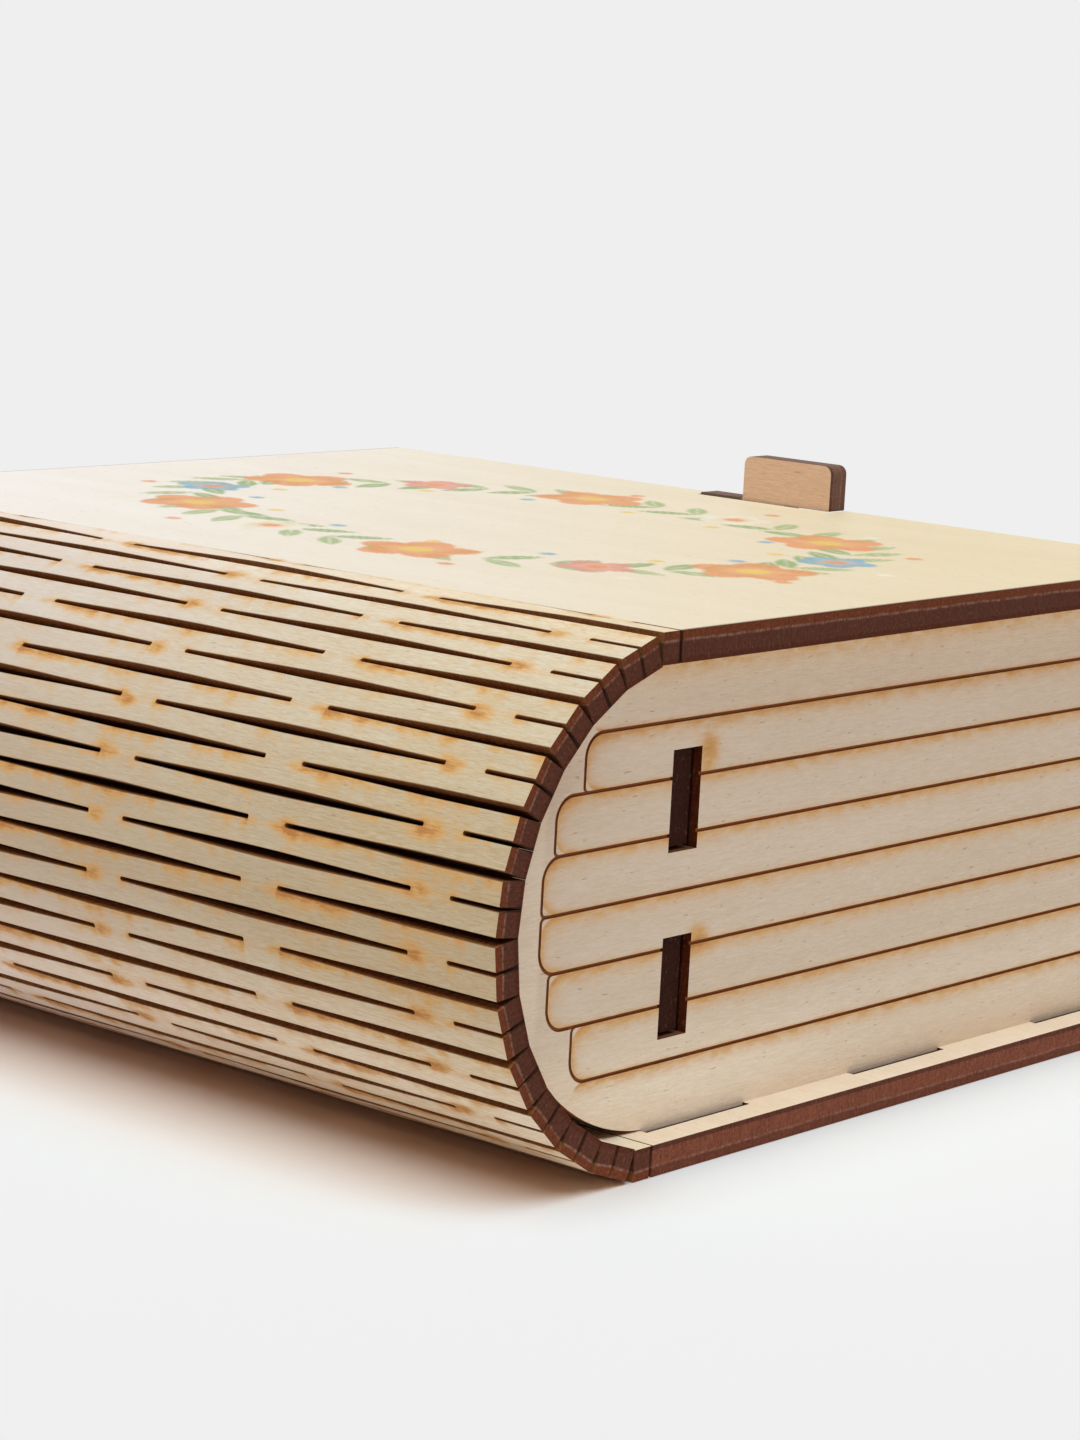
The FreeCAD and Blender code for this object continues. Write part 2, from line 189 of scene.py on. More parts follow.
def rgb(red, green, blue):
    """An opaque colour from the 0-255 values that a painter would name, turned to linear light."""
    share = np.array([red, green, blue]) / 255
    linear = np.where(share <= 0.04045, share / 12.92, ((share + 0.055) / 1.055) ** 2.4)
    return (*linear.tolist(), 1.0)


print("helpers ready; a mid birch tone is", [round(c, 3) for c in rgb(224, 206, 172)])

# %% [markdown]
# ## Light and floor
# A studio table is lit by a wide soft box above and by what the warm room throws back. A plain
# world gives the room's light, and one very wide sun lamp the soft box, with a soft edge to its
# shadow. Together they add up to one on a level surface, in each channel, so a colour renders as it
# is written and only the shadow turns warm. The floor's grey and the background that the camera
# sees are the same, so no horizon shows.

# %% Light and floor
SURROUND = np.array([0.33, 0.175, 0.115])
PAPER = 0.863
SUN_WIDTH = np.radians(50)
FLOOR_REACH, FLOOR_DROP = 8, 5e-5
towards_light = np.array([-0.26, -0.20, 0.94])
towards_light /= np.linalg.norm(towards_light)

world = bpy.data.worlds.new("studio")
bpy.context.scene.world = world
world.use_nodes = True
air = world.node_tree
air.nodes.clear()
path = add(air, "ShaderNodeLightPath").outputs
seen = calc(air, "MAXIMUM", path["Is Camera Ray"], path["Is Glossy Ray"])
seen = calc(air, "MAXIMUM", seen, path["Is Transmission Ray"])
glow = add(air, "ShaderNodeBackground", {"Color": (*SURROUND, 1)}).outputs[0]
paper = add(air, "ShaderNodeBackground", {"Color": (1, 1, 1, 1), "Strength": PAPER}).outputs[0]
chosen = add(air, "ShaderNodeMixShader", {0: seen, 1: glow, 2: paper}).outputs[0]
add(air, "ShaderNodeOutputWorld", {0: chosen})

lamp = bpy.data.lights.new("soft_light", "SUN")
lamp.angle = SUN_WIDTH
lamp.color = (1 - SURROUND) / np.max(1 - SURROUND)
lamp.energy = float(np.pi * np.max(1 - SURROUND) / towards_light[2])
light = bpy.data.objects.new("soft_light", lamp)
side = np.cross((0, 1, 0), towards_light)
side /= np.linalg.norm(side)
aim = np.eye(4)
aim[:3, :3] = np.stack([side, np.cross(towards_light, side), towards_light], axis=1)
light.matrix_world = Matrix(aim.tolist())
bpy.context.scene.collection.objects.link(light)

floor_mesh = bpy.data.meshes.new("floor")
floor_corners = [(x * FLOOR_REACH, y * FLOOR_REACH, -FLOOR_DROP)
                 for x, y in ((-1, -1), (1, -1), (1, 1), (-1, 1))]
floor_mesh.from_pydata(floor_corners, [], [(0, 1, 2, 3)])
floor = bpy.data.objects.new("floor", floor_mesh)
bpy.context.scene.collection.objects.link(floor)
bpy.context.scene.view_settings.view_transform = "Standard"
print(f"sun {lamp.energy:.2f} and surround {SURROUND.tolist()} give 1.0 on a level surface")

# %% [markdown]
# ## The card under the box
# The floor is pale card. Close below the overhanging spine its colour is painted warmer, as painted
# shade: there the wood throws its own colour into the shadow. More bounces of light would do that
# too, but slowly. An occlusion node is enough: it says how much of the sky a point of the card has
# lost to the box.

# %% Finish of the card
WARMTH = (0.97, 0.83, 0.74)
card = bpy.data.materials.new("pale_card")
card.use_nodes = True
weave = card.node_tree
open_sky = add(weave, "ShaderNodeAmbientOcclusion", {"Distance": 0.03}, samples=8).outputs["AO"]
card_x = split(weave, add(weave, "ShaderNodeTexCoord").outputs["Object"])[0]
by_spine = ramp(weave, card_x, FIRST_ROW / 1000 + 0.004, FIRST_ROW / 1000 - 0.006)
# Painted shade: the card turns warm where the box hides its sky, beside the spine.
painted_warm_shade = product(weave, ramp(weave, open_sky, 0.74, 0.4), by_spine)
pale, warm = (PAPER, PAPER, PAPER, 1), (*(PAPER * share for share in WARMTH), 1)
matt = weave.nodes["Principled BSDF"]
weave.links.new(blend(weave, painted_warm_shade, pale, warm), matt.inputs["Base Color"])
matt.inputs["Roughness"].default_value = 1.0
matt.inputs["Specular IOR Level"].default_value = 0.0
floor_mesh.materials.append(card)
print("card ready")

# %% [markdown]
# ## Birch veneer
# Birch is pale and even: fine fibres and hairs run along the grain, broad soft bands drift across
# it, and a few dark flecks and bright glints lie between. One stretched noise gives each of these,
# long along the grain and short across it. A slight bump from the fibres breaks up the light, as on
# unsanded ply. The smoke of the laser lies on top, as a second step.

# %% Veneer colour and bump
TOAST = rgb(221, 170, 98)
SCORCH = rgb(182, 112, 52)
# Dark brown of charred lips at the cuts; also used as painted shade in the mortises.
CHAR_AND_SHADE = rgb(74, 42, 24)
FLECK = rgb(150, 112, 76)
GLINT = rgb(248, 240, 222)
BUMP = {"Strength": 0.5, "Distance": 8e-5}


def veneer(tree, place, pale, deep, shine=0.15):
    """Colour and height of birch; place is in mm, across the grain in x and along it in y."""
    bands = stretched_noise(tree, place, (0.16, 0.02, 0.3), 3.0)
    fibres = stretched_noise(tree, place, (4.5, 0.3, 1.0), 4.0, 0.68)
    hairs = stretched_noise(tree, place, (10.0, 0.85, 1.0), 3.0, 0.65)
    flecks = stretched_noise(tree, place, (3.4, 0.6, 1.0), 1.0)
    glints = stretched_noise(tree, place, (7.0, 0.9, 2.0), 1.0)
    tone = calc(tree, "MULTIPLY_ADD", fibres, 0.4, product(tree, bands, 0.25))
    tone = ramp(tree, calc(tree, "MULTIPLY_ADD", hairs, 0.4, tone), 0.38, 0.67)
    colour = blend(tree, tone, deep, pale)
    colour = blend(tree, product(tree, ramp(tree, flecks, 0.70, 0.78), 0.4), colour, FLECK)
    colour = blend(tree, product(tree, ramp(tree, glints, 0.62, 0.70), shine), colour, GLINT)
    return colour, calc(tree, "ADD", product(tree, hairs, 0.8), fibres)


def about_one(tree, pattern, swing):
    """A pattern between 0 and 1 turned into a factor that swings about 1."""
    return calc(tree, "MULTIPLY_ADD", pattern, swing, 1.0 - 0.5 * swing)


def scorched(tree, colour, place, haze, streaky=0.9, cloudy=0.8):
    """Smoke over the veneer, cloudy along the grain: first yellow toast, then orange scorch."""
    cloud = ramp(tree, stretched_noise(tree, place, (0.9, 0.45, 1.0), 3.0, 0.6), 0.3, 0.7)
    streak = ramp(tree, stretched_noise(tree, place, (5.0, 0.55, 1.0), 4.0, 0.7), 0.34, 0.66)
    patchy = product(tree, about_one(tree, streak, streaky), about_one(tree, cloud, cloudy))
    share = product(tree, haze, patchy)
    toasted = blend(tree, product(tree, ramp(tree, share, 0.05, 0.8), 0.85), colour, TOAST)
    return blend(tree, product(tree, ramp(tree, share, 0.45, 1.7), 0.75), toasted, SCORCH)


def roughened(tree, height, least=0.5, swing=0.12):
    """Roughness that grows a little with the height of the fibres."""
    return calc(tree, "MULTIPLY_ADD", height, swing, least)


def finished(name, tree_maker, gloss=0.2):
    """A material with the colour, height and roughness of tree_maker; burnt wood has less gloss."""
    material = bpy.data.materials.new(name)
    material.use_nodes = True
    tree = material.node_tree
    surface = tree.nodes["Principled BSDF"]
    surface.inputs["Specular IOR Level"].default_value = gloss
    colour, height, roughness = tree_maker(tree)
    bump = add(tree, "ShaderNodeBump", {**BUMP, "Height": height})
    tree.links.new(colour, surface.inputs["Base Color"])
    tree.links.new(bump.outputs[0], surface.inputs["Normal"])
    tree.links.new(roughness, surface.inputs["Roughness"])
    return material


print("veneer ready")

# %% [markdown]
# ## Burnt edge
# The laser leaves every cut edge brown. Seen from the side, the sheet shows its layers: a reddish
# outer skin, a pale chipped glue line, a greyer core, and a darker inner skin. The layer follows
# from the depth below the outer face, and fine ridges run down the edge, where the beam pulsed.

# %% Burnt edge colour and height
INNER_SKIN = rgb(58, 22, 12)
GLUE = rgb(160, 128, 110)
FIBRE = rgb(196, 160, 140)


def burnt_edge(tree, depth, along, skin, core, glue=0.5):
    """Colour and height of a cut edge: outer skin, core, inner skin, and the glue line that shows
    between the first two. depth is mm below the outer face, along a place on the edge in mm."""
    wander = stretched_noise(tree, along, (0.35, 0.35, 0.35), 2.0)
    ridges = stretched_noise(tree, along, (4.5, 4.5, 0.9), 3.0, 0.65)
    grit = stretched_noise(tree, along, (3.4, 3.4, 3.4), 4.0, 0.7)
    chips = ramp(tree, stretched_noise(tree, along, (1.6, 1.6, 0.4), 3.0, 0.7), 0.3, 0.62)
    flecks = ramp(tree, stretched_noise(tree, along, (3.0, 3.0, 1.4), 3.0, 0.75), 0.58, 0.68)
    past_line = calc(tree, "SUBTRACT", depth, calc(tree, "MULTIPLY_ADD", wander, 0.3, 0.78))
    colour = blend(tree, ramp(tree, past_line, -0.06, 0.06), skin, core)
    inner = product(tree, ramp(tree, depth, PLY - 0.56, PLY - 0.42), 0.8)
    colour = blend(tree, inner, colour, blend(tree, 0.6, skin, INNER_SKIN))
    near_line = ramp(tree, calc(tree, "ABSOLUTE", past_line), 0.2, 0.02)
    colour = blend(tree, product(tree, near_line, chips, glue), colour, GLUE)
    shade = calc(tree, "ADD", ridges, calc(tree, "MULTIPLY_ADD", grit, 1.9, -0.45))
    shaded = add(tree, "ShaderNodeCombineColor", {0: shade, 1: shade, 2: shade}).outputs[0]
    colour = blend(tree, 1.0, colour, shaded, "MULTIPLY")
    colour = blend(tree, product(tree, flecks, 0.3), colour, blend(tree, 0.4, skin, FIBRE))
    return colour, calc(tree, "ADD", ridges, grit)


print("burnt edge ready")

# %% [markdown]
# ## Finish of the bending spine
# A stave twists, so its pattern must ride on the stave and not on space. Each stave therefore
# carries its own place in the flat sheet as an attribute: across, along and depth, in millimetres.
# Two more attributes hold how much smoke lies on each point and how close it is to a cut.

# %% Finish of staves and lid, read from the flat sheet
SOOT = rgb(30, 18, 13)
# Painted light: a factor over one that lightens the cut edges of the lowest staves.
PAINTED_LIGHT_TINT = (1.3, 1.32, 1.4, 1.0)


def sheet_place(tree):
    """Place in the flat sheet in mm: x across the grain, y along it, z below the outer face."""
    return add(tree, "ShaderNodeAttribute", attribute_name="flat_sheet").outputs["Vector"]


def face_amount(tree, name):
    """A number that the piece carries on its points."""
    return add(tree, "ShaderNodeAttribute", attribute_name=name).outputs["Fac"]


def with_burnt_lip(tree, colour):
    """The colour of a face, charred where it meets a cut."""
    return blend(tree, product(tree, face_amount(tree, "lip"), 0.9), colour, CHAR_AND_SHADE)


def stave_face(tree):
    """Bare birch, with painted shade on the upper and middle rows of the round and painted light on
    the lower rows, and smoke and a burnt lip at every cut.
    """
    place = sheet_place(tree)
    across, along, _ = split(tree, place)
    colour, height = veneer(tree, place, rgb(255, 248, 229), rgb(232, 209, 170), 0.7)
    towards_head = product(tree, ramp(tree, along, 5.0, 95.0), 0.65)
    colour = blend(tree, towards_head, colour, rgb(245, 236, 238))
    # Painted shade and light by row: the middle rows darker and the lower rows lighter, as light
    # falls on the round.
    painted_light_by_row = rgb(250, 245, 237)
    for start, end, tint in ((0.0, 0.14, rgb(230, 227, 222)), (0.08, 0.48, rgb(208, 199, 182)),
                             (0.5, 0.78, rgb(255, 252, 250))):
        share = ramp(tree, across, start * SPINE_WIDE, end * SPINE_WIDE)
        painted_light_by_row = blend(tree, share, painted_light_by_row, tint)
    colour = blend(tree, 1.0, colour, painted_light_by_row, "MULTIPLY")
    colour = scorched(tree, colour, place, face_amount(tree, "smoke"), 0.6)
    return with_burnt_lip(tree, colour), height, roughened(tree, height, 0.52)


def inner_face(tree):
    """Bare birch inside the spine and the lid."""
    colour, height = veneer(tree, sheet_place(tree), rgb(244, 231, 208), rgb(228, 209, 177), 0.3)
    return colour, height, roughened(tree, height, 0.52)


def sheet_edge(tree):
    """Cut edge of the sheet that makes lid and spine; sooty where a row of slits runs out, with
    painted light that makes it lighter towards the base.
    """
    place = sheet_place(tree)
    across, _, depth = split(tree, place)
    colour, height = burnt_edge(tree, depth, place, rgb(108, 57, 35), rgb(88, 51, 38))
    # Painted light: the cut edges grow lighter towards the base.
    painted_light_low = ramp(tree, across, 0.68 * SPINE_WIDE, 0.95 * SPINE_WIDE)
    colour = blend(tree, painted_light_low, colour, PAINTED_LIGHT_TINT, "MULTIPLY")
    to_row = calc(tree, "PINGPONG", across, PITCH / 2)
    on_spine = calc(tree, "GREATER_THAN", across, -0.5)
    cut = product(tree, ramp(tree, to_row, 0.28, 0.16), on_spine, 0.85)
    return blend(tree, cut, colour, SOOT), height, roughened(tree, height, 0.5, 0.15)


def slit_wall(tree):
    """Wall of a slit: fibrous, browner at the top and darker below."""
    place = sheet_place(tree)
    depth = split(tree, place)[2]
    colour, height = burnt_edge(tree, depth, place, rgb(138, 90, 50), rgb(92, 58, 36))
    return colour, height, roughened(tree, height, 0.55, 0.15)


stave_finish = finished("birch_spine", stave_face)
edge_finish = finished("burnt_sheet_edge", sheet_edge, 0.05)
slit_finish = finished("burnt_slit", slit_wall, 0.05)
inner_finish = finished("birch_inside", inner_face)
print("made", stave_finish.name, edge_finish.name, slit_finish.name, inner_finish.name)

# %% [markdown]
# ## Mesh helper
# Every piece that is made here is a section carried along a line, ring by ring. The helper joins
# the rings to quads, closes both ends and turns the faces outwards, by the sign of the enclosed
# volume.

# %% Carry a section along a line
FACE, EDGE = 0, 1


def swept_piece(name, rings, kinds, materials, numbers):
    """Closed mesh from rings[i, j] (mm); kinds[j] is the material of the strip from point j to
    j + 1, and the ends take the material EDGE. numbers are the amounts that the points carry."""
    count, around = rings.shape[:2]
    index = np.arange(count * around).reshape(count, around)
    following = np.roll(index, -1, axis=1)
    quads = np.stack([index[:-1], following[:-1], following[1:], index[1:]], axis=2).reshape(-1, 4)
    points = rings.reshape(-1, 3)
    a, b, c, d = (points[quads[:, i]] for i in range(4))
    volume = np.einsum("ij,ij->", a, np.cross(b, c)) + np.einsum("ij,ij->", a, np.cross(c, d))
    caps = [index[0].tolist(), index[-1][::-1].tolist()]
    if volume < 0:
        quads = quads[:, ::-1]
    else:
        caps = [cap[::-1] for cap in caps]
    mesh = bpy.data.meshes.new(name)
    mesh.from_pydata((points / 1000).tolist(), [], quads.tolist() + caps)
    strip = np.tile(kinds, count - 1).tolist() + [EDGE, EDGE]
    mesh.polygons.foreach_set("material_index", strip)
    for material in materials:
        mesh.materials.append(material)
    for key, values in numbers.items():
        kind, field = ("FLOAT", "value") if values.ndim == 2 else ("FLOAT_VECTOR", "vector")
        amounts = mesh.attributes.new(key, kind, "POINT")
        amounts.data.foreach_set(field, values.astype(np.float32).ravel())
    mesh.update()
    piece = bpy.data.objects.new(name, mesh)
    bpy.context.scene.collection.objects.link(piece)
    return piece


print("sweep ready")

# %% [markdown]
# ## The slits
# The rows take turns, like bricks: odd rows have their bridges at one set of places, even rows half
# way between. A slit is one beam wide, and its ends are round because the beam is round. From one
# bridge to the next a stave twists evenly, as any bar does that is held at both ends and turned.

# %% Where the sheet is cut, and how far each stave has twisted
BRIDGE = 4.6
FIRST_BRIDGE = 8.0
BRIDGE_PITCH = (LENGTH - 2 * FIRST_BRIDGE) / 2.5
DRAWN_BACK = 0.07


def bridge_middles(row):
    """Middles of a row's three bridges from the tail edge; even rows lie half a pitch further."""
    start = FIRST_BRIDGE if row % 2 else FIRST_BRIDGE + BRIDGE_PITCH / 2
    return start + BRIDGE_PITCH * np.arange(3)


def half_slit(row, y):
    """Half the slit's width at y: 0 in a bridge, half a beam in a slit, round where they meet. The
    lips of a bent slit draw back a little, with sin^2 of the way along it."""
    radius = KERF / 2
    past = np.min(np.abs(y[:, None] - bridge_middles(row)), axis=1) - BRIDGE / 2
    way = np.clip(2 * past / (BRIDGE_PITCH - BRIDGE), 0, 1)
    drawn = DRAWN_BACK * np.sin(np.pi / 2 * way) ** 2
    return np.sqrt(np.clip(radius ** 2 - np.clip(radius - past, 0, radius) ** 2, 0, None)) + drawn


def twist_share(stave, y):
    """0 at the bridges of the stave's first row, 1 at those of its second, even between them."""
    places, shares = [], []
    for row, share in ((stave, 0.0), (stave + 1, 1.0)):
        for middle in bridge_middles(row):
            places += [middle - BRIDGE / 2, middle + BRIDGE / 2]
            shares += [share, share]
    order = np.argsort(places)
    return np.interp(y, np.array(places)[order], np.array(shares)[order])


def ring_places(rows, step):
    """Places of the rings from tail to head: even steps, and closer ones round every slit's end."""
    curve = KERF / 2 * (1 - np.cos(np.radians(np.arange(0, 91, 15))))
    ends = [middle + way * (BRIDGE / 2 + curve)
            for row in rows for middle in bridge_middles(row) for way in (-1, 1)]
    every = np.concatenate([np.arange(0, LENGTH, step), [LENGTH]] + ends)
    return np.unique(np.round(every[(every >= 0) & (every <= LENGTH)], 4))


print(f"bridges {BRIDGE} long every {BRIDGE_PITCH:.2f}")

# %% [markdown]
# ## Smoke
# The beam starts and stops at the slit ends, and the air jet blows its smoke one way. So a brown
# spot lies just past the tail end of the odd rows' slits, a halo round the head end of the even
# rows' slits, and a thin veil along the lower side of each. The veil fades with the distance, and
# the marks at the ends are bell curves about their places. The lower rows have a little more smoke.

# %% Smoke beside the slits
FIRST_SEED = 100


def bell(distance, width):
    """exp(-(d / w)^2)."""
    return np.exp(-(distance / width) ** 2)


def smoke_of_row(row, past, y):
    """Smoke that one row lays on its surroundings; past is mm beyond the row's line, away from the
    lid. A mark is its strength, then its place and size along the slit, then those across it."""
    chance = np.random.default_rng(FIRST_SEED + row)
    odd, beyond = row % 2, past > 0
    inside = half_slit(row, y.ravel()).reshape(y.shape) > 0
    paces = chance.uniform([0.25, 0.8, 2.2], [0.5, 1.4, 3.4])
    starts = chance.uniform(0, 6, 3)
    waves = 0.7 + sum(size * np.sin(pace * y + start)
                      for pace, start, size in zip(paces, starts, (0.3, 0.25, 0.2)))
    veil = (0.55 if odd else 0.95) * waves * np.exp(-np.clip(past, 0, None) / 0.95)
    smoke = inside * np.where(beyond, veil, 0.4 * np.exp(past / 0.35))
    for middle in bridge_middles(row):
        power = chance.uniform(0.6, 1.2)
        drift = chance.uniform(-0.1, 0.35)
        tail_end, head_end = middle + BRIDGE / 2, middle - BRIDGE / 2
        if odd:
            marks = [(1.0, tail_end - 0.7, 1.15, drift, 0.7),
                     (0.35, tail_end - 1.2, 2.4, drift, 1.1),
                     (0.35, head_end, 1.3, 0.2, 0.7)]
        else:
            marks = [(0.6, head_end + 0.2, 1.5, drift, 0.7),
                     (0.7 * beyond, head_end - 4.0, 5.0, 0.3, 0.6),
                     (0.4, tail_end - 0.4, 1.0, 0.2, 0.6)]
        for strength, place, long, shift, wide in marks:
            smoke = smoke + strength * power * bell(y - place, long) * bell(past - shift, wide)
    return smoke * (1 + 0.2 * np.clip((row - 5) / 6, 0, 1))


print("smoke ready")

# %% [markdown]
# ## The 26 staves
# A stave is a bar 3 mm thick and 2.3 mm wide that reaches the row's line only at a bridge, where it
# meets its neighbour. A twist could be a modifier, but a modifier would not know about the bridges.
# So every ring of the bar is placed by formula: middle line + across x width + outward x thickness,
# both directions turned by the share of twist at that ring.

# %% Make the staves
SHARES = np.array([0, 0.03, 0.08, 0.15, 0.25, 0.37, 0.5, 0.63, 0.75, 0.85, 0.92, 0.97, 1.0])
UNDER_SHARES = SHARES[::3]
TOP_END = len(SHARES) - 1
WALL, INSIDE = 2, 3
LIP = 0.05
PLAY = 0.01
STAVE_STEP = 0.7


def narrow_side(half, tilt):
    """Half width at the inner face: a beam cuts a tapered slit, as narrow as the bend allows."""
    room = (PITCH / 2 - PLAY - PLY / 2 * np.sin(tilt)) / np.cos(tilt)
    return np.where(half > PITCH / 2 - PLAY, half, np.clip(room, half - 0.2, half + 0.25))


def stave_section(stave, y):
    """Across and outward place of the section's points at each y, and which are at a cut."""
    first, second = half_slit(stave, y)[:, None], half_slit(stave + 1, y)[:, None]
    low, high = first - PITCH / 2, PITCH / 2 - second
    top = low + (high - low) * SHARES
    turn = row_turn[stave] - row_turn[stave - 1]
    share = twist_share(stave, y)[:, None]
    under_low = -narrow_side(-low, turn * share)
    under_high = narrow_side(high, turn * (1 - share))
    under = under_high + (under_low - under_high) * UNDER_SHARES
    across = np.concatenate([top, under], axis=1)
    out = np.concatenate([np.full_like(top, PLY / 2), np.full_like(under, -PLY / 2)], axis=1)
    open_first, open_second = (np.minimum(half / (KERF / 2), 1) for half in (first, second))
    out[:, 0] -= LIP * open_first[:, 0]
    out[:, TOP_END] -= LIP * open_second[:, 0]
    lip = np.zeros_like(across)
    lip[:, [0, -1]] = open_first
    lip[:, [TOP_END, TOP_END + 1]] = open_second
    return across, out, lip


def make_stave(stave):
    """One twisted bar."""
    y = ring_places((stave, stave + 1), STAVE_STEP)
    share = twist_share(stave, y)
    angle = (row_turn[stave - 1] + share * (row_turn[stave] - row_turn[stave - 1]))[:, None]
    across, out, lip = stave_section(stave, y)
    x = axis_x[stave - 1] - across * np.cos(angle) - out * np.sin(angle)
    z = axis_z[stave - 1] - across * np.sin(angle) + out * np.cos(angle)
    along = np.broadcast_to(y[:, None], x.shape)
    rings = np.stack([x, TAIL + along, z], axis=2)
    flat = np.stack([(stave - 0.5) * PITCH + across, along, PLY / 2 - out], axis=2)
    smoke = smoke_of_row(stave, across + PITCH / 2, along)
    smoke += smoke_of_row(stave + 1, across - PITCH / 2, along)
    kinds = np.array([FACE] * TOP_END + [WALL] + [INSIDE] * (len(UNDER_SHARES) - 1) + [WALL])
    piece = swept_piece(f"spine_stave_{stave:02d}", rings, kinds,
                        [stave_finish, edge_finish, slit_finish, inner_finish],
                        {"flat_sheet": flat, "smoke": smoke * (out > 0), "lip": lip})
    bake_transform(piece)
    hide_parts(f"hinge_stave_{stave:02d}")
    return piece


staves = [make_stave(number) for number in range(1, STAVES + 1)]
print(len(staves), "staves,", sum(len(s.data.polygons) for s in staves), "faces")

# %% [markdown]
# ## Print on the lid
# The lid carries a cheerful colour print on a cream ground. Here it is a plain wreath of garden
# flowers: blossoms, leaves and berries on an oval. It could be painted by hand into a picture, but
# a formula keeps the file free of pictures: each motif is a soft mask worked out for all points.

# %% Paint the wreath
CREAM_NEAR, CREAM_FAR = np.array(rgb(238, 223, 192)[:3]), np.array(rgb(250, 247, 247)[:3])
INK = {name: np.array(rgb(*value)[:3]) for name, value in {
    "orange": (232, 152, 92), "peach": (240, 190, 142), "green": (134, 168, 98),
    "moss": (160, 184, 122), "white": (246, 240, 224), "yellow": (238, 206, 104),
    "pink": (226, 150, 140), "blue": (128, 178, 208),
}.items()}
SMALL_BLOSSOMS = ("pink", "blue", "white")
BERRIES = ("yellow", "orange", "blue", "white")
OVAL_MIDDLE, OVAL_REACH = np.array([45.0, 60.0]), np.array([27.0, 40.0])
LEAF = 3.4


def soft(inside, edge=0.35):
    """0 outside a motif, 1 inside, with a soft printed edge; inside is mm within its outline."""
    return np.clip(inside / edge + 0.5, 0, 1)[..., None]


def painted(colours, mask, ink, strength=0.85):
    """Ink laid over what is there."""
    return colours + mask * strength * (ink - colours)


def paint_leaf(colours, x, y, place, heading, ink):
    """A pointed leaf: half its width is w (1 - (u / l)^2) along its own middle line."""
    dx, dy = x - place[0], y - place[1]
    u = dx * np.cos(heading) + dy * np.sin(heading)
    v = dy * np.cos(heading) - dx * np.sin(heading)
    inside = 0.34 * LEAF * (1 - (u / LEAF) ** 2) - np.abs(v)
    colours = painted(colours, soft(inside), ink)
    return painted(colours, soft(0.14 - np.abs(v), 0.2) * soft(inside - 0.2), INK["white"], 0.5)


def paint_blossom(colours, x, y, place, radius, spin, ink, heart):
    """Five round petals: the outline is r (0.68 + 0.32 |cos 2.5 a|) at angle a."""
    dx, dy = x - place[0], y - place[1]
    away = np.hypot(dx, dy)
    petal = radius * (0.68 + 0.32 * np.abs(np.cos(2.5 * (np.arctan2(dy, dx) + spin))))
    colours = painted(colours, soft(petal - away), ink)
    colours = painted(colours, soft(0.55 * petal - away, 1.6), INK["peach"], 0.45)
    return painted(colours, soft(0.27 * radius - away), heart)


def on_oval(turn, outward=0.0):
    """A place on the wreath's oval, or so far outside it."""
    return OVAL_MIDDLE + (OVAL_REACH + outward) * (np.cos(turn), np.sin(turn))


def wreath(x, y):
    """Colours of the lid at x from the slits and y from the tail edge."""
    fade = np.clip(0.35 + (y - 40) / 130 - (x - 30) / 160, 0, 1)[..., None]
    colours = CREAM_NEAR + fade * (CREAM_FAR - CREAM_NEAR)
    for turn in np.radians(np.arange(0, 360, 9)):
        stem = on_oval(turn) + 1.2 * np.array([np.sin(5 * turn), np.cos(4 * turn)])
        for swing, ink in ((0.75, "green"), (-0.75, "moss")):
            heading = turn + np.pi / 2 + swing
            middle = stem + LEAF * np.array([np.cos(heading), np.sin(heading)])
            colours = paint_leaf(colours, x, y, middle, heading, INK[ink])
    for number, turn in enumerate(np.radians(np.arange(15, 375, 30))):
        if number % 2 == 0:
            radius, ink, heart = 6.6, "orange", "yellow"
        else:
            radius, ink, heart = 4.3, SMALL_BLOSSOMS[number // 2 % 3], "orange"
        colours = paint_blossom(colours, x, y, on_oval(turn), radius, turn, INK[ink], INK[heart])
    for number, turn in enumerate(np.radians(np.arange(0, 360, 12))):
        place = on_oval(turn, 7.5 if number % 2 else -7.0)
        away = np.hypot(x - place[0], y - place[1])
        colours = painted(colours, soft(0.9 - away), INK[BERRIES[number % 4]])
    return np.clip(colours, 0, 1)


print("wreath ready")

# %% [markdown]
# ## Finish of the printed lid
# The ink soaks into the veneer, so the grain still shows faintly through it.

# %% Finish of the lid's faces
def printed_face(tree):
    """Printed birch: the painted colours, a trace of grain, and a burnt lip at the cuts."""
    place = sheet_place(tree)
    bare, height = veneer(tree, place, rgb(255, 253, 249), rgb(246, 241, 230))
    ink = add(tree, "ShaderNodeAttribute", attribute_name="ink").outputs["Color"]
    colour = blend(tree, 1.0, ink, bare, "MULTIPLY")
    colour = scorched(tree, colour, place, face_amount(tree, "smoke"))
    return with_burnt_lip(tree, colour), height, roughened(tree, height, 0.42, 0.1)


print_finish = finished("printed_birch", printed_face)
print("made", print_finish.name)

# %% [markdown]
# ## The lid
# The lid is the same kind of sweep as a stave, only wide: a fine grid of columns carries the print,
# its hinge side follows the first row of slits, and its fore-edge steps back at the latch's notch.

# %% Make the lid
LID_WIDE = 1000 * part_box("front_cover")[1].x - FIRST_ROW
NOTCH_START, NOTCH_END, NOTCH_EDGE = 48.8, 68.1, 87.7
NOTCH_STEP = 0.02
LID_STEP = 0.5
GRID_START, GRID_END = 1.0, 87.0
UNDER_PLACES = (60, 30)
UNDERSIDE = 2


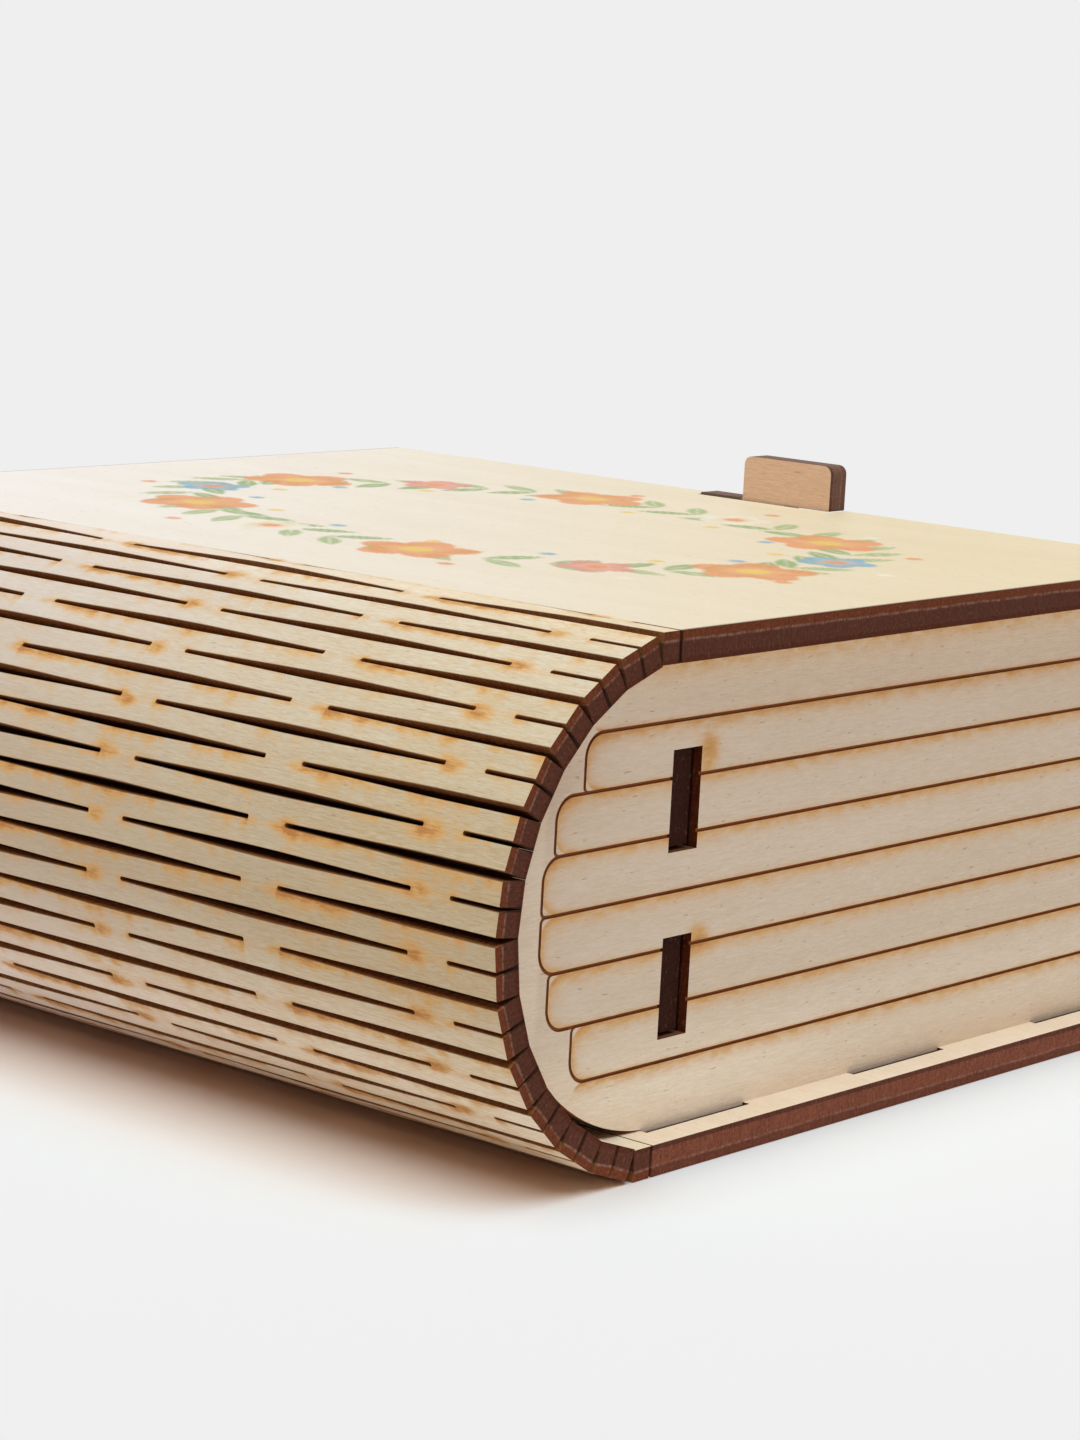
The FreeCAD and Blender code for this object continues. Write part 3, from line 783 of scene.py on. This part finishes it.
def lid_section(y):
    """Places from the slits outward to the fore-edge at each y, over the top and back below."""
    near = half_slit(1, y)[:, None]
    step = np.clip(np.minimum(y - NOTCH_START, NOTCH_END - y) / NOTCH_STEP, 0, 1)[:, None]
    far = LID_WIDE + step * (NOTCH_EDGE - LID_WIDE)
    grid = np.arange(GRID_START, GRID_END, LID_STEP)
    first = near + (GRID_START - near) * np.array([0, 0.06, 0.2, 0.45])
    even = np.broadcast_to(grid, (len(y), len(grid)))
    last = GRID_END + (far - GRID_END) * np.array([0, 0.4, 0.8, 0.98, 1.0])
    below = [far] + [np.full_like(far, place) for place in UNDER_PLACES] + [near]
    return np.concatenate([first, even, last], axis=1), np.concatenate(below, axis=1)


notch_rings = [NOTCH_START, NOTCH_START + NOTCH_STEP, NOTCH_END - NOTCH_STEP, NOTCH_END]
lid_y = np.unique(np.concatenate([ring_places((1,), LID_STEP), notch_rings]))
over, under = lid_section(lid_y)
columns, under_columns = over.shape[1], under.shape[1]
lid_x = np.concatenate([over, under], axis=1)
lid_out = np.tile([PLY / 2] * columns + [-PLY / 2] * under_columns, (len(lid_y), 1))
lid_out[:, [0, columns - 1]] -= LIP
lid_along = np.broadcast_to(lid_y[:, None], lid_x.shape)
lid_rings = np.stack([FIRST_ROW + lid_x, TAIL + lid_along, LID_TOP - PLY / 2 + lid_out], axis=2)
lid_flat = np.stack([-lid_x, lid_along, PLY / 2 - lid_out], axis=2)
lid_lip = np.zeros_like(lid_x)
lid_lip[:, [0, columns - 1]] = 1
lid_lip[[0, -1], :columns] = 1
lid_smoke = smoke_of_row(1, -lid_x, lid_along) * (lid_out > 0) * 0.5
lid_kinds = [FACE] * (columns - 1) + [EDGE] + [UNDERSIDE] * (under_columns - 1) + [EDGE]
lid = swept_piece("lid_board", lid_rings, np.array(lid_kinds),
                  [print_finish, edge_finish, inner_finish],
                  {"flat_sheet": lid_flat, "smoke": lid_smoke, "lip": lid_lip})
ink = lid.data.attributes.new("ink", "FLOAT_COLOR", "POINT")
shades = np.concatenate([wreath(lid_x, lid_along), np.ones((*lid_x.shape, 1))], axis=2)
ink.data.foreach_set("color", shades.astype(np.float32).ravel())
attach(lid, "lid")
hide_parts("front_cover")
print("lid", len(lid.data.polygons), "faces")

# %% [markdown]
# ## Boards that keep their CAD shape
# The base board, the walls and the end panels are flat pieces with square mortises, so the CAD
# solids already have the right shape and only need a finish. On a solid the finish can ask two
# things: which way a face looks, which tells veneer from cut edge, and how deep a point lies below
# the outer face, which tells the layers of the edge and the floor of an engraved line.

# %% Place and direction on a CAD board
X, Y, Z = 0, 1, 2


def board_place(tree):
    """Object coordinates in mm, whole and split into x, y and z."""
    metres = add(tree, "ShaderNodeTexCoord").outputs["Object"]
    place = add(tree, "ShaderNodeVectorMath", {0: metres, "Scale": 1000.0},
                operation="SCALE").outputs[0]
    return place, split(tree, place)


def looks_along(tree, axis):
    """1 on faces that look along an axis of the piece, 0 on its cut edges."""
    normal = add(tree, "ShaderNodeNewGeometry").outputs["True Normal"]
    own = add(tree, "ShaderNodeVectorTransform", {0: normal}, vector_type="NORMAL",
              convert_from="WORLD", convert_to="OBJECT").outputs[0]
    return ramp(tree, calc(tree, "ABSOLUTE", split(tree, own)[axis]), 0.4, 0.6)


def grain_place(tree, parts, across, along, through):
    """The three parts put in the veneer's order: across the grain, along it, through the sheet."""
    return add(tree, "ShaderNodeCombineXYZ",
               {0: parts[across], 1: parts[along], 2: parts[through]}).outputs[0]


def outer_and_engraved(tree, depth):
    """Two masks: 1 on the outer face and in its engraved lines, and 1 in the lines alone."""
    outer = ramp(tree, depth, 0.6, 0.4)
    return outer, product(tree, ramp(tree, depth, 0.03, 0.1), outer)


print("board helpers ready")

# %% [markdown]
# ## Base board
# The lower board is the back cover of the book. Its grain runs along the spine as on the lid. The
# inner side is uppermost here, so the depth that sets the layers of the edge counts from below.

# %% Finish of the base board
def base_board(tree):
    """Birch above and below, burnt round the rim and in the mortises."""
    place, parts = board_place(tree)
    grain = grain_place(tree, parts, X, Y, Z)
    face, height = veneer(tree, grain, rgb(247, 229, 207), rgb(233, 210, 182))
    cloud = stretched_noise(tree, grain, (0.5, 0.2, 0.5), 2.0)
    face = scorched(tree, face, grain, product(tree, ramp(tree, cloud, 0.55, 0.75), 0.18))
    edge, rough = burnt_edge(tree, parts[Z], place, rgb(112, 61, 43), rgb(130, 74, 53))
    colour = blend(tree, looks_along(tree, Z), edge, face)
    return colour, calc(tree, "ADD", height, rough), roughened(tree, height)


base_finish = finished("birch_base", base_board, 0.1)
print("made", base_finish.name)

# %% [markdown]
# ## End panels
# The two ends imitate the leaves of a book: seven engraved lines, joined by rounded ends that
# follow the round of the spine. Smoke hangs just below every line. The lines sit at even heights,
# so their distance comes from a remainder; the page ends step inwards from the middle page, in
# three stages.

# %% Finish of the end panels
PAGE_PITCH = 5.34
PAGE_MIDDLE = 25.25
PAGE_CORNER = 2.3
TOP_LINE, LOW_LINE = PAGE_MIDDLE + 3 * PAGE_PITCH, PAGE_MIDDLE - 3 * PAGE_PITCH
ROUND_MIDDLE, ROUND = 4.9, 17.75
PAGE_ENDS = ROUND_MIDDLE - np.sqrt(ROUND ** 2 - (PAGE_PITCH * (np.arange(3) + 1 / 3)) ** 2)
FIRST_PAGE = FIRST_ROW + PAGE_ENDS[0]
PANEL_FACE = 1000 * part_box("head_panel")[1].y
SLOT_MIDDLE = FIRST_ROW + 6.8
SPOT_PLACES = [(FIRST_ROW + 9.9, height) for height in (37.9, 20.3)]
LINE_BROWN = rgb(160, 100, 54)


def below_line(tree, height):
    """How far a height lies below the next page line above it."""
    down = calc(tree, "SUBTRACT", TOP_LINE + 10 * PAGE_PITCH, height)
    return calc(tree, "FLOORED_MODULO", down, PAGE_PITCH)


def past_page_end(tree, parts, below, high):
    """How far a point lies inside the rounded page ends."""
    start = FIRST_PAGE
    for number in (1, 2):
        stepped = calc(tree, "GREATER_THAN", high, number * PAGE_PITCH)
        step = PAGE_ENDS[number] - PAGE_ENDS[number - 1]
        start = calc(tree, "MULTIPLY_ADD", stepped, step, start)
    from_line = calc(tree, "MINIMUM", below, calc(tree, "SUBTRACT", PAGE_PITCH, below))
    short = calc(tree, "MAXIMUM", calc(tree, "SUBTRACT", PAGE_CORNER, from_line), 0.0)
    chord = calc(tree, "SUBTRACT", PAGE_CORNER ** 2, product(tree, short, short))
    corner = calc(tree, "SUBTRACT", PAGE_CORNER, calc(tree, "SQRT", chord))
    return calc(tree, "SUBTRACT", parts[X], calc(tree, "ADD", start, corner))


def page_smoke(tree, parts):
    """Smoke below the page lines, inside the page ends and along the panel's top edge."""
    below = below_line(tree, parts[Z])
    under = product(tree, fall_off(tree, below, -1.0), 0.95)
    above = fall_off(tree, calc(tree, "SUBTRACT", below, PAGE_PITCH), 2.4)
    lines = calc(tree, "MULTIPLY_ADD", above, 0.7, under)
    high = away_from(tree, parts[Z], PAGE_MIDDLE)
    within = past_page_end(tree, parts, below, high)
    lines = product(tree, lines, ramp(tree, parts[Z], TOP_LINE + 1.6, TOP_LINE + 0.3),
                    ramp(tree, parts[Z], LOW_LINE - 2.6, LOW_LINE - 1.4),
                    ramp(tree, within, -0.2, 0.4))
    ends = product(tree, fall_off(tree, within, -1.0), ramp(tree, within, -0.3, 0.05),
                   ramp(tree, high, 3.2 * PAGE_PITCH, 2.9 * PAGE_PITCH))
    under_lid = fall_off(tree, calc(tree, "SUBTRACT", parts[Z], LID_TOP - PLY), 0.6)
    lines = calc(tree, "MULTIPLY_ADD", under_lid, 1.1, lines)
    return calc(tree, "MULTIPLY_ADD", ends, 0.65, lines)


def smoke_spot(tree, parts, x, z, wide, strength):
    """A round brown spot on a panel."""
    dx = calc(tree, "POWER", calc(tree, "SUBTRACT", parts[X], x), 2.0)
    dz = calc(tree, "POWER", calc(tree, "SUBTRACT", parts[Z], z), 2.0)
    return product(tree, fall_off(tree, calc(tree, "ADD", dx, dz), -1 / wide ** 2), strength)


def painted_light_share(tree, parts):
    """How much painted light the panel gets: most low by the spine, then near the lid and in the
    margin.
    """
    by_spine = ramp(tree, parts[X], FIRST_ROW + 40.0, FIRST_ROW + 6.0)
    lit_share = calc(tree, "MULTIPLY_ADD", by_spine, 0.55, 0.45)
    lit_share = product(tree, lit_share, ramp(tree, parts[Z], 17.0, 6.0))
    lit_share = calc(tree, "MULTIPLY_ADD", ramp(tree, parts[Z], 36.0, 42.0), 0.35, lit_share)
    margin = ramp(tree, parts[X], FIRST_PAGE + 0.6, FIRST_PAGE - 0.6)
    return calc(tree, "MAXIMUM", lit_share, product(tree, margin, 0.4))


def page_panel(tree):
    """Birch with its grain level, with engraved lines, smoke and burnt cuts."""
    place, parts = board_place(tree)
    grain = grain_place(tree, parts, Z, X, Y)
    face, height = veneer(tree, grain, rgb(255, 245, 226), rgb(242, 226, 201), 0.3)
    # Painted light and shade: full colour low by the spine, near the lid and in the margin, dimmed
    # to a grey elsewhere.
    tint = blend(tree, painted_light_share(tree, parts), rgb(228, 223, 220), rgb(255, 255, 255))
    face = blend(tree, 1.0, face, tint, "MULTIPLY")
    depth = calc(tree, "SUBTRACT", PANEL_FACE, calc(tree, "ABSOLUTE", parts[Y]))
    outer, groove = outer_and_engraved(tree, depth)
    smoke = page_smoke(tree, parts)
    for x, z in SPOT_PLACES:
        smoke = calc(tree, "ADD", smoke, smoke_spot(tree, parts, x, z, 1.5, 0.95))
    face = scorched(tree, face, grain, product(tree, smoke, outer), 0.25, 0.5)
    # Painted shade: the bottom of the face, where it sinks into the base's mortise, is painted dark
    # brown.
    painted_shade_in_mortise = ramp(tree, parts[Z], PLY - 0.16, PLY - 0.32)
    face = blend(tree, painted_shade_in_mortise, face, CHAR_AND_SHADE)
    edge, rough = burnt_edge(tree, depth, place, rgb(84, 34, 11), rgb(44, 18, 9), 0.05)
    level_cut = product(tree, looks_along(tree, Z), 0.7)
    edge = blend(tree, level_cut, edge, rgb(122, 84, 58))
    flat = looks_along(tree, Y)
    beside_slot = ramp(tree, away_from(tree, parts[X], SLOT_MIDDLE), 2.15, 2.35)
    groove = product(tree, groove, calc(tree, "MAXIMUM", flat, beside_slot))
    colour = blend(tree, groove, blend(tree, flat, edge, face), LINE_BROWN)
    return colour, calc(tree, "ADD", height, rough), roughened(tree, height)


panel_finish = finished("birch_pages", page_panel, 0.1)
print("made", panel_finish.name)

# %% [markdown]
# ## Long walls and latch
# The wall behind the spine only shows its tenon ends, dark from the cut. The wall at the fore-edge
# carries the page lines straight across. The latch is cut from a browner sheet.

# %% Finishes of the walls and the latch
FORE_FACE = 1000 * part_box("fore_edge_wall")[1].x
HOOK_FACE = FORE_FACE + 3.3
TAB_LONG = 12.5
TAB_END = 1000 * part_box("latch_hook")[0].y + TAB_LONG


def upright_wall(tree):
    """Birch on both faces of a wall that looks along x, dark in the engraved lines and the cuts."""
    place, parts = board_place(tree)
    grain = grain_place(tree, parts, Z, Y, X)
    face, height = veneer(tree, grain, rgb(233, 218, 194), rgb(216, 197, 168))
    depth = calc(tree, "SUBTRACT", FORE_FACE, parts[X])
    outer, groove = outer_and_engraved(tree, depth)
    by_lines = ramp(tree, away_from(tree, parts[Z], PAGE_MIDDLE - 1.0), 18.6, 17.6)
    smoke = fall_off(tree, below_line(tree, parts[Z]), -1.6)
    face = scorched(tree, face, grain, product(tree, smoke, by_lines, outer, 0.62))
    edge, rough = burnt_edge(tree, depth, place, rgb(46, 25, 18), rgb(46, 25, 18))
    flat = looks_along(tree, X)
    colour = blend(tree, product(tree, groove, flat), blend(tree, flat, edge, face), LINE_BROWN)
    return colour, calc(tree, "ADD", height, rough), roughened(tree, height)


def latch_plate(tree):
    """Browner ply with burnt edges, and painted shade on the shoulder beside the tab."""
    place, parts = board_place(tree)
    grain = grain_place(tree, parts, Z, Y, X)
    face, height = veneer(tree, grain, rgb(236, 203, 174), rgb(219, 181, 150))
    # Painted shade: the shoulder's face is darkened near its top, beside the tab.
    painted_shade_shoulder = product(tree, ramp(tree, parts[Y], TAB_END, TAB_END + 0.2),
                    ramp(tree, parts[Z], LID_TOP - 1.2, LID_TOP - 0.3), 0.9)
    face = blend(tree, painted_shade_shoulder, face, rgb(104, 80, 67))
    depth = calc(tree, "SUBTRACT", HOOK_FACE, parts[X])
    edge, rough = burnt_edge(tree, depth, place, rgb(102, 68, 52), rgb(110, 78, 62))
    colour = blend(tree, looks_along(tree, X), edge, face)
    return colour, calc(tree, "ADD", height, rough), roughened(tree, height)


wall_finish = finished("birch_wall", upright_wall, 0.05)
latch_finish = finished("tan_latch", latch_plate)
print("made", wall_finish.name, latch_finish.name)

# %% [markdown]
# ## The latch's hook
# The hook is a small plate that stands outside the fore-edge. Its tab reaches over the lid, where a
# finger pushes it, and a low shoulder fills the lid's notch beside it; the shoulder's face is
# painted dark near its top, as painted shade. One outline, with its corners rounded, is carried
# through the thickness. The plate stops just short of the end of the strip that joins it, so that
# the strip still shows.

# %% Make the hook
BROAD, TIGHT = 1.0, 0.1
STRIP_SHOWS = 0.03


def rounded_outline(corners, radii):
    """Each square corner c becomes the arc c + r (u (1 - sin a) + v (1 - cos a)), with u and v the
    directions of its two sides."""
    back, ahead = np.roll(corners, 1, axis=0) - corners, np.roll(corners, -1, axis=0) - corners
    u, v = (side / np.linalg.norm(side, axis=1, keepdims=True) for side in (back, ahead))
    turn = np.radians(np.linspace(0, 90, 7))[None, :, None]
    arcs = u[:, None] * (1 - np.sin(turn)) + v[:, None] * (1 - np.cos(turn))
    return (corners[:, None] + radii[:, None, None] * arcs).reshape(-1, 2)


hook_box = (1000 * np.array(corner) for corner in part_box("latch_hook"))
(hook_back, near, low), (hook_front, tip, high) = hook_box
shoulder_low, shoulder_top = LID_TOP - 9.0, LID_TOP + 0.25
mouth_low, mouth_top, mouth_end = LID_TOP - 3.3, LID_TOP + 0.02, near + 6.5
hook_corners = np.array([
    (near, low), (TAB_END, low), (TAB_END, shoulder_low), (tip, shoulder_low),
    (tip, shoulder_top), (TAB_END, shoulder_top), (TAB_END, high), (near, high),
    (near, mouth_top), (mouth_end, mouth_top), (mouth_end, mouth_low), (near, mouth_low)])
hook_radii = np.array(2 * ([BROAD] * 2 + [TIGHT] * 4))
hook_line = rounded_outline(hook_corners, hook_radii)
hook_rings = np.stack([np.insert(hook_line, 0, x, axis=1)
                       for x in (hook_back, hook_front - STRIP_SHOWS)])
hook = swept_piece("hook_plate", hook_rings, np.full(len(hook_line), FACE),
                   [latch_finish, latch_finish], {})
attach(hook, "latch")
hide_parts("latch_hook")
print("hook", len(hook.data.polygons), "faces")

# %% [markdown]
# ## Dressing the boards
# The boards that keep their CAD shape ride on their bodies already, so each one only gets its
# finish.

# %% Dress the CAD boards
dress = {"back_cover": base_finish, "tail_panel": panel_finish, "head_panel": panel_finish,
         "spine_wall": wall_finish, "fore_edge_wall": wall_finish,
         "latch_keeper": latch_finish, "latch_link": latch_finish}
for node, finish in dress.items():
    frame["nodes"][node].data.materials.clear()
    frame["nodes"][node].data.materials.append(finish)
print("dressed", ", ".join(dress))
